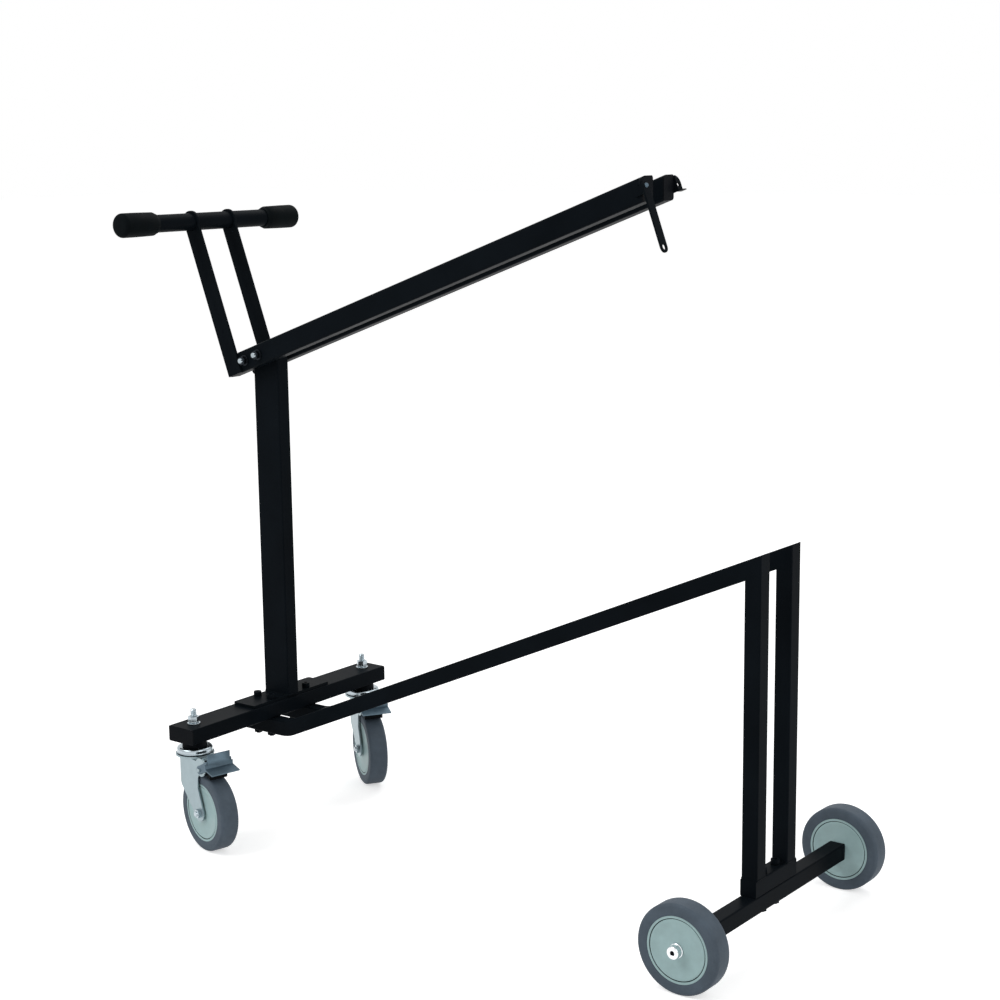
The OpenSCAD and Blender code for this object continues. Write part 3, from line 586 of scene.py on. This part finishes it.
class CART_OT_welds(bpy.types.Operator):
    """Weld beads at the mast's foot and the posts' feet"""

    bl_idname = "cart.welds"
    bl_label = "Welds"

    def execute(self, context):
        sizes = context.scene.cart_frame
        feet = {"mast": "weld_mast_foot"}
        feet.update({f"post_{side}": f"weld_post_foot_{side}" for side in SIDES})
        for node, name in feet.items():
            low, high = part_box(node)
            foot = Vector(((low.x + high.x) / 2, (low.y + high.y) / 2, low.z))
            self.bead(sizes, name, foot, Vector((high.x - low.x, 0, 0)), Vector((0, high.y - low.y, 0)))
        return {"FINISHED"}

    def bead(self, sizes, name, centre, along, across):
        """A rippled bead round a rectangle, sunk into the corner of the pieces that it joins."""
        sink = sizes.weld_radius / 2
        half = (along * (0.5 - sink / along.length), across * (0.5 - sink / across.length))
        corners = [centre + a * half[0] + b * half[1] for a, b in ((-1, -1), (1, -1), (1, 1), (-1, 1))]
        points = []
        for start, end in zip(corners, corners[1:] + corners[:1]):
            count = max(4, round((end - start).length / sizes.weld_pitch) * 2)
            points += [start.lerp(end, step / count) for step in range(count)]
        curve = bpy.data.curves.new(name, "CURVE")
        curve.dimensions = "3D"
        curve.bevel_depth = sizes.weld_radius
        curve.bevel_resolution = 3
        spline = curve.splines.new("POLY")
        spline.points.add(len(points) - 1)
        spline.use_cyclic_u = True
        for index, place in enumerate(points):
            spline.points[index].co = (*place, 1)
            spline.points[index].radius = 1.0 if index % 2 else sizes.weld_dip
        curve.materials.append(MATERIALS["black_paint"])
        weld = bpy.data.objects.new(name, curve)
        bpy.context.scene.collection.objects.link(weld)
        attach(weld, "root")


class CART_OT_wheels(bpy.types.Operator):
    """Tyres with round shoulders, dished hubs, side covers, and a black ring of painted shade in each groove
    beside a cover
    """

    bl_idname = "cart.wheels"
    bl_label = "Wheels"

    def execute(self, context):
        sizes = context.scene.cart_wheels
        for side in SIDES:
            spin = JOINTS[f"caster_spin_{side}"]
            self.wheel(sizes, "caster", side, spin["axis"], f"caster_wheel_{side}")
            self.wheel(sizes, "rear", side, (0, 1, 0), f"rear_wheel_{side}")
        return {"FINISHED"}

    def wheel(self, sizes, kind, side, axis, body):
        """One wheel's tyre, its two covers and its two black rings of painted shade, on the axis of its spin."""
        place = axis_frame(middle(f"{kind}_tyre_{side}"), axis)
        form = bmesh.new()
        lathe(form, self.tyre_profile(sizes), steps=WHEEL_STEPS)
        finish_piece(f"{kind}_tyre_body_{side}", form, place, body, "tyre_rubber", [f"{kind}_tyre_{side}"])
        form = bmesh.new()
        for face in (-1, 1):
            lathe(form, self.cover_profile(sizes, face), steps=WHEEL_STEPS)
        finish_piece(
            f"{kind}_cover_plates_{side}", form, place, body, "hub_plastic", [f"{kind}_covers_{side}"]
        )
        # Black rings of painted shade, one in each groove between cover and rim.
        form = bmesh.new()
        for face in (-1, 1):
            lathe(form, self.shade_ring_profile(sizes, face), steps=WHEEL_STEPS)
        finish_piece(f"{kind}_shade_rings_{side}", form, place, body, "black_plastic")

    def tyre_profile(self, sizes):
        """A flat tread between round shoulders, and a bead that stands a little over the rim."""
        half = sizes.tyre_width / 2
        outer, round_r, bead = sizes.radius, sizes.shoulder, sizes.bead
        seat = sizes.tyre_seat + sizes.play
        profile = [(seat, -half + bead)]
        profile += arc((seat + bead, -half + bead), bead, 180, 270, 4)
        profile += arc((outer - round_r, -half + round_r), round_r, 270, 360, 8)
        profile += arc((outer - round_r, half - round_r), round_r, 0, 90, 8)
        profile += arc((seat + bead, half - bead), bead, 90, 180, 4)
        return profile

    def cover_profile(self, sizes, face):
        """A shallow dish with a round edge and a raised ring round the boss."""
        outer, edge = sizes.cover_radius, sizes.cover_edge
        top = sizes.cover_width / 2
        bottom = top - sizes.cover_thickness
        bore_gap, chamfer = 0.1 * MM, 0.3 * MM
        ring_width, ring_slope = 5 * MM, 1.2 * MM
        rim_width, rim_slope = 4.6 * MM, 1.4 * MM
        bore = sizes.boss_radius + bore_gap
        ring = bore + ring_width
        rim = outer - rim_width
        profile = [
            (bore, bottom), (bore, top - chamfer), (bore + chamfer, top), (ring, top),
            (ring + ring_slope, top - sizes.dish), (rim - rim_slope, top - sizes.dish), (rim, top),
        ]
        profile += arc((outer - edge, top - edge), edge, 90, 0, 4)
        profile += [(outer, bottom)]
        return [(radius, face * height) for radius, height in profile]

    def shade_ring_profile(self, sizes, face):
        """A black ring of painted shade that fills the groove between cover and rim, below their faces: it stands
        for the shadow in that gap.
        """
        top = sizes.cover_width / 2 - sizes.shade_ring_drop
        bottom = top - sizes.shade_ring_thickness
        inner, outer = sizes.cover_radius + sizes.play, sizes.rim_inner - sizes.play
        return [(radius, face * height) for radius, height in
                ((inner, bottom), (inner, top), (outer, top), (outer, bottom))]


class CART_OT_casters(bpy.types.Operator):
    """The casters' rolled races, kingpins and threaded stems"""

    bl_idname = "cart.casters"
    bl_label = "Casters"

    def execute(self, context):
        sizes = context.scene.cart_casters
        for side in SIDES:
            low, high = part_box(f"caster_stem_{side}")
            axis = Matrix.Translation(((low.x + high.x) / 2, (low.y + high.y) / 2, 0))
            form = bmesh.new()
            lathe(form, self.stem_profile(sizes, high.z), steps=SMALL_STEPS)
            lathe(form, self.race_profile(sizes), steps=WHEEL_STEPS)
            finish_piece(
                f"caster_stem_and_race_{side}", form, axis, "root", "bright_zinc", [f"caster_stem_{side}"],
                crease=50,
            )
        return {"FINISHED"}

    def race_profile(self, sizes):
        """A pressed cup: a rolled lower lip, an upright wall and a round shoulder under the collar."""
        outer, lip, shoulder = sizes.race_radius, sizes.race_lip, sizes.race_shoulder
        low, high = sizes.race_low, sizes.race_high
        waist, lip_height = 0.7 * MM, 3.2 * MM
        skin, crown_depth, overlap = 0.2 * MM, 3 * MM, 0.3 * MM
        wall_gap, inner_round = 0.5 * MM, 1.5 * MM
        crown = high - crown_depth
        hole = sizes.stem_radius - overlap
        inner = outer - sizes.race_wall - wall_gap
        profile = arc((outer - lip, low + lip), lip, 250, 400, 8)
        profile += [(outer - waist, low + lip_height)]
        profile += arc((outer - shoulder, high - shoulder), shoulder - skin, 0, 90, 8)
        profile += [(hole, high - skin), (hole, crown), (inner - inner_round, crown)]
        profile += [(inner, crown - inner_round), (inner, low)]
        return profile

    def stem_profile(self, sizes, top):
        """The kingpin's head, the plain shank and the thread up to a chamfered point."""
        radius = sizes.stem_radius
        root = radius - sizes.thread_depth
        foot = sizes.stem_foot
        chamfer = 1.2 * MM
        thread_end, point = top - 2.2 * MM, top - 1.6 * MM
        profile = [(0, foot), (sizes.kingpin_radius - chamfer, foot), (sizes.kingpin_radius, foot + chamfer),
                   (sizes.kingpin_radius, foot + sizes.kingpin_height), (radius, foot + sizes.kingpin_height)]
        height = sizes.thread_start
        while height < thread_end:
            profile += [(radius, height), (root, height + 0.5 * sizes.thread_pitch)]
            height += sizes.thread_pitch
        profile += [(radius, point), (radius - chamfer, top), (0, top)]
        return profile


class CART_OT_grips(bpy.types.Operator):
    """Rubber grips with a domed end and a tapered collar"""

    bl_idname = "cart.grips"
    bl_label = "Grips"

    def execute(self, context):
        sizes = context.scene.cart_grips
        bar_low, bar_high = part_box("handle_bar")
        bore = (bar_high.z - bar_low.z) / 2
        for side, sign in (("near", -1), ("far", 1)):
            low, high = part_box(f"grip_{side}")
            radius = (high.z - low.z) / 2
            long = high.y - low.y
            inner_end = high.y if sign < 0 else low.y
            place = Vector(((low.x + high.x) / 2, inner_end, (low.z + high.z) / 2))
            form = bmesh.new()
            lathe(form, self.profile(sizes, radius, long, bore), steps=GRIP_STEPS)
            finish_piece(
                f"grip_sleeve_{side}", form, axis_frame(place, (0, sign, 0)), "root", "grip_rubber",
                [f"grip_{side}"], crease=50,
            )
        return {"FINISHED"}

    def profile(self, sizes, radius, long, bore):
        """From the open end: a tapered collar, a barely swelling sleeve and a domed closed end."""
        collar, round_r, dome = sizes.collar, sizes.collar_round, sizes.dome
        inner = bore + sizes.play
        wall_end = long - sizes.end_wall
        step_low, step_high, swell, crown = 1.0 * MM, 0.6 * MM, 0.2 * MM, 0.05 * MM
        profile = [(inner, 0)]
        profile += arc((radius - sizes.collar_drop, round_r), round_r, -90, 20, 4)
        profile += [(radius - step_low, collar - 0.6 * MM), (radius - step_high, collar + 0.4 * MM),
                    (radius - swell, 0.4 * long), (radius, 0.6 * long)]
        profile += arc((radius - dome, long - dome), dome, 0, 78, 8)
        profile += [(0.4 * radius, long - crown), (0, long), (0, wall_end), (inner, wall_end)]
        return profile


class CART_OT_axle_caps(bpy.types.Operator):
    """Chrome caps on the rear axle, each with a hole in its face and a black disc of painted shade at the hole's
    bottom
    """

    bl_idname = "cart.axle_caps"
    bl_label = "Axle caps"

    def execute(self, context):
        sizes = context.scene.cart_caps
        low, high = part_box("axle_caps")
        radius = (high.z - low.z) / 2
        # The dark form holds the black discs of painted shade for the bottoms of the holes.
        chrome, dark = bmesh.new(), bmesh.new()
        for sign in (-1, 1):
            outer_face = high.y if sign > 0 else low.y
            centre = Vector(((low.x + high.x) / 2, outer_face, (low.z + high.z) / 2))
            place = axis_frame(centre, (0, sign, 0))
            for form, profile in ((chrome, self.shell(sizes, radius)), (dark, self.hole_shade(sizes, radius))):
                ring = bmesh.new()
                lathe(ring, profile, steps=SMALL_STEPS)
                bmesh.ops.transform(ring, matrix=place, verts=ring.verts)
                mesh = bpy.data.meshes.new("ring")
                ring.to_mesh(mesh)
                ring.free()
                form.from_mesh(mesh)
                bpy.data.meshes.remove(mesh)
        finish_piece("axle_cap_shells", chrome, Matrix(), "root", "chrome", ["axle_caps"])
        finish_piece("axle_cap_hole_shades", dark, Matrix(), "root", "black_plastic")
        return {"FINISHED"}

    def shell(self, sizes, radius):
        """A flanged cup, seen from its face at height zero back to its foot."""
        foot, back, edge = -sizes.depth, -sizes.face, sizes.edge
        hole = radius / 3
        chamfer, flange_foot, flange_top = 0.4 * MM, 1.8 * MM, 2.4 * MM
        side, inside = radius - sizes.flange, radius - sizes.wall
        profile = [(hole, back), (hole, -chamfer), (hole + chamfer, 0)]
        profile += arc((side - edge, -edge), edge, 90, 0, 6)
        profile += [(side, foot + flange_top), (radius, foot + flange_foot), (radius, foot),
                    (inside, foot), (inside, back)]
        return profile

    def hole_shade(self, sizes, radius):
        """A black disc of painted shade at the bottom of the hole, a little narrower than the hole."""
        hole = radius / 3 - 0.05 * MM
        top, bottom = -sizes.hole_shade_depth, -sizes.face + 0.1 * MM
        return [(0, bottom), (0, top), (hole, top), (hole, bottom)]


class CART_PT_panel(bpy.types.Panel):
    """The cart's operators in the sidebar"""

    bl_label = "Music Stand Cart"
    bl_idname = "CART_PT_panel"
    bl_space_type = "VIEW_3D"
    bl_region_type = "UI"
    bl_category = "Cart"

    def draw(self, context):
        for operator in OPERATORS:
            self.layout.operator(operator.bl_idname)
        for name, group in GROUPS.items():
            for setting in group.__annotations__:
                self.layout.prop(getattr(context.scene, name), setting)


GROUPS = {
    "cart_studio": StudioSettings,
    "cart_wheels": WheelSettings,
    "cart_casters": CasterSettings,
    "cart_frame": FrameSettings,
    "cart_grips": GripSettings,
    "cart_caps": CapSettings,
    "cart_finish": FinishSettings,
}
OPERATORS = (
    CART_OT_studio, CART_OT_finishes, CART_OT_edges, CART_OT_welds, CART_OT_wheels, CART_OT_casters,
    CART_OT_grips, CART_OT_axle_caps,
)


def register():
    """Registers the settings, the operators and the panel."""
    for cls in (*GROUPS.values(), *OPERATORS, CART_PT_panel):
        bpy.utils.register_class(cls)
    for name, group in GROUPS.items():
        setattr(bpy.types.Scene, name, bpy.props.PointerProperty(type=group))


def unregister():
    """Takes them all out again."""
    for name in GROUPS:
        delattr(bpy.types.Scene, name)
    for cls in reversed((*GROUPS.values(), *OPERATORS, CART_PT_panel)):
        bpy.utils.unregister_class(cls)


def main():
    """Builds the stage and the pieces in order."""
    register()
    bpy.ops.cart.studio()
    bpy.ops.cart.finishes()
    bpy.ops.cart.edges()
    bpy.ops.cart.welds()
    bpy.ops.cart.wheels()
    bpy.ops.cart.casters()
    bpy.ops.cart.grips()
    bpy.ops.cart.axle_caps()


if __name__ == "__main__":
    main()
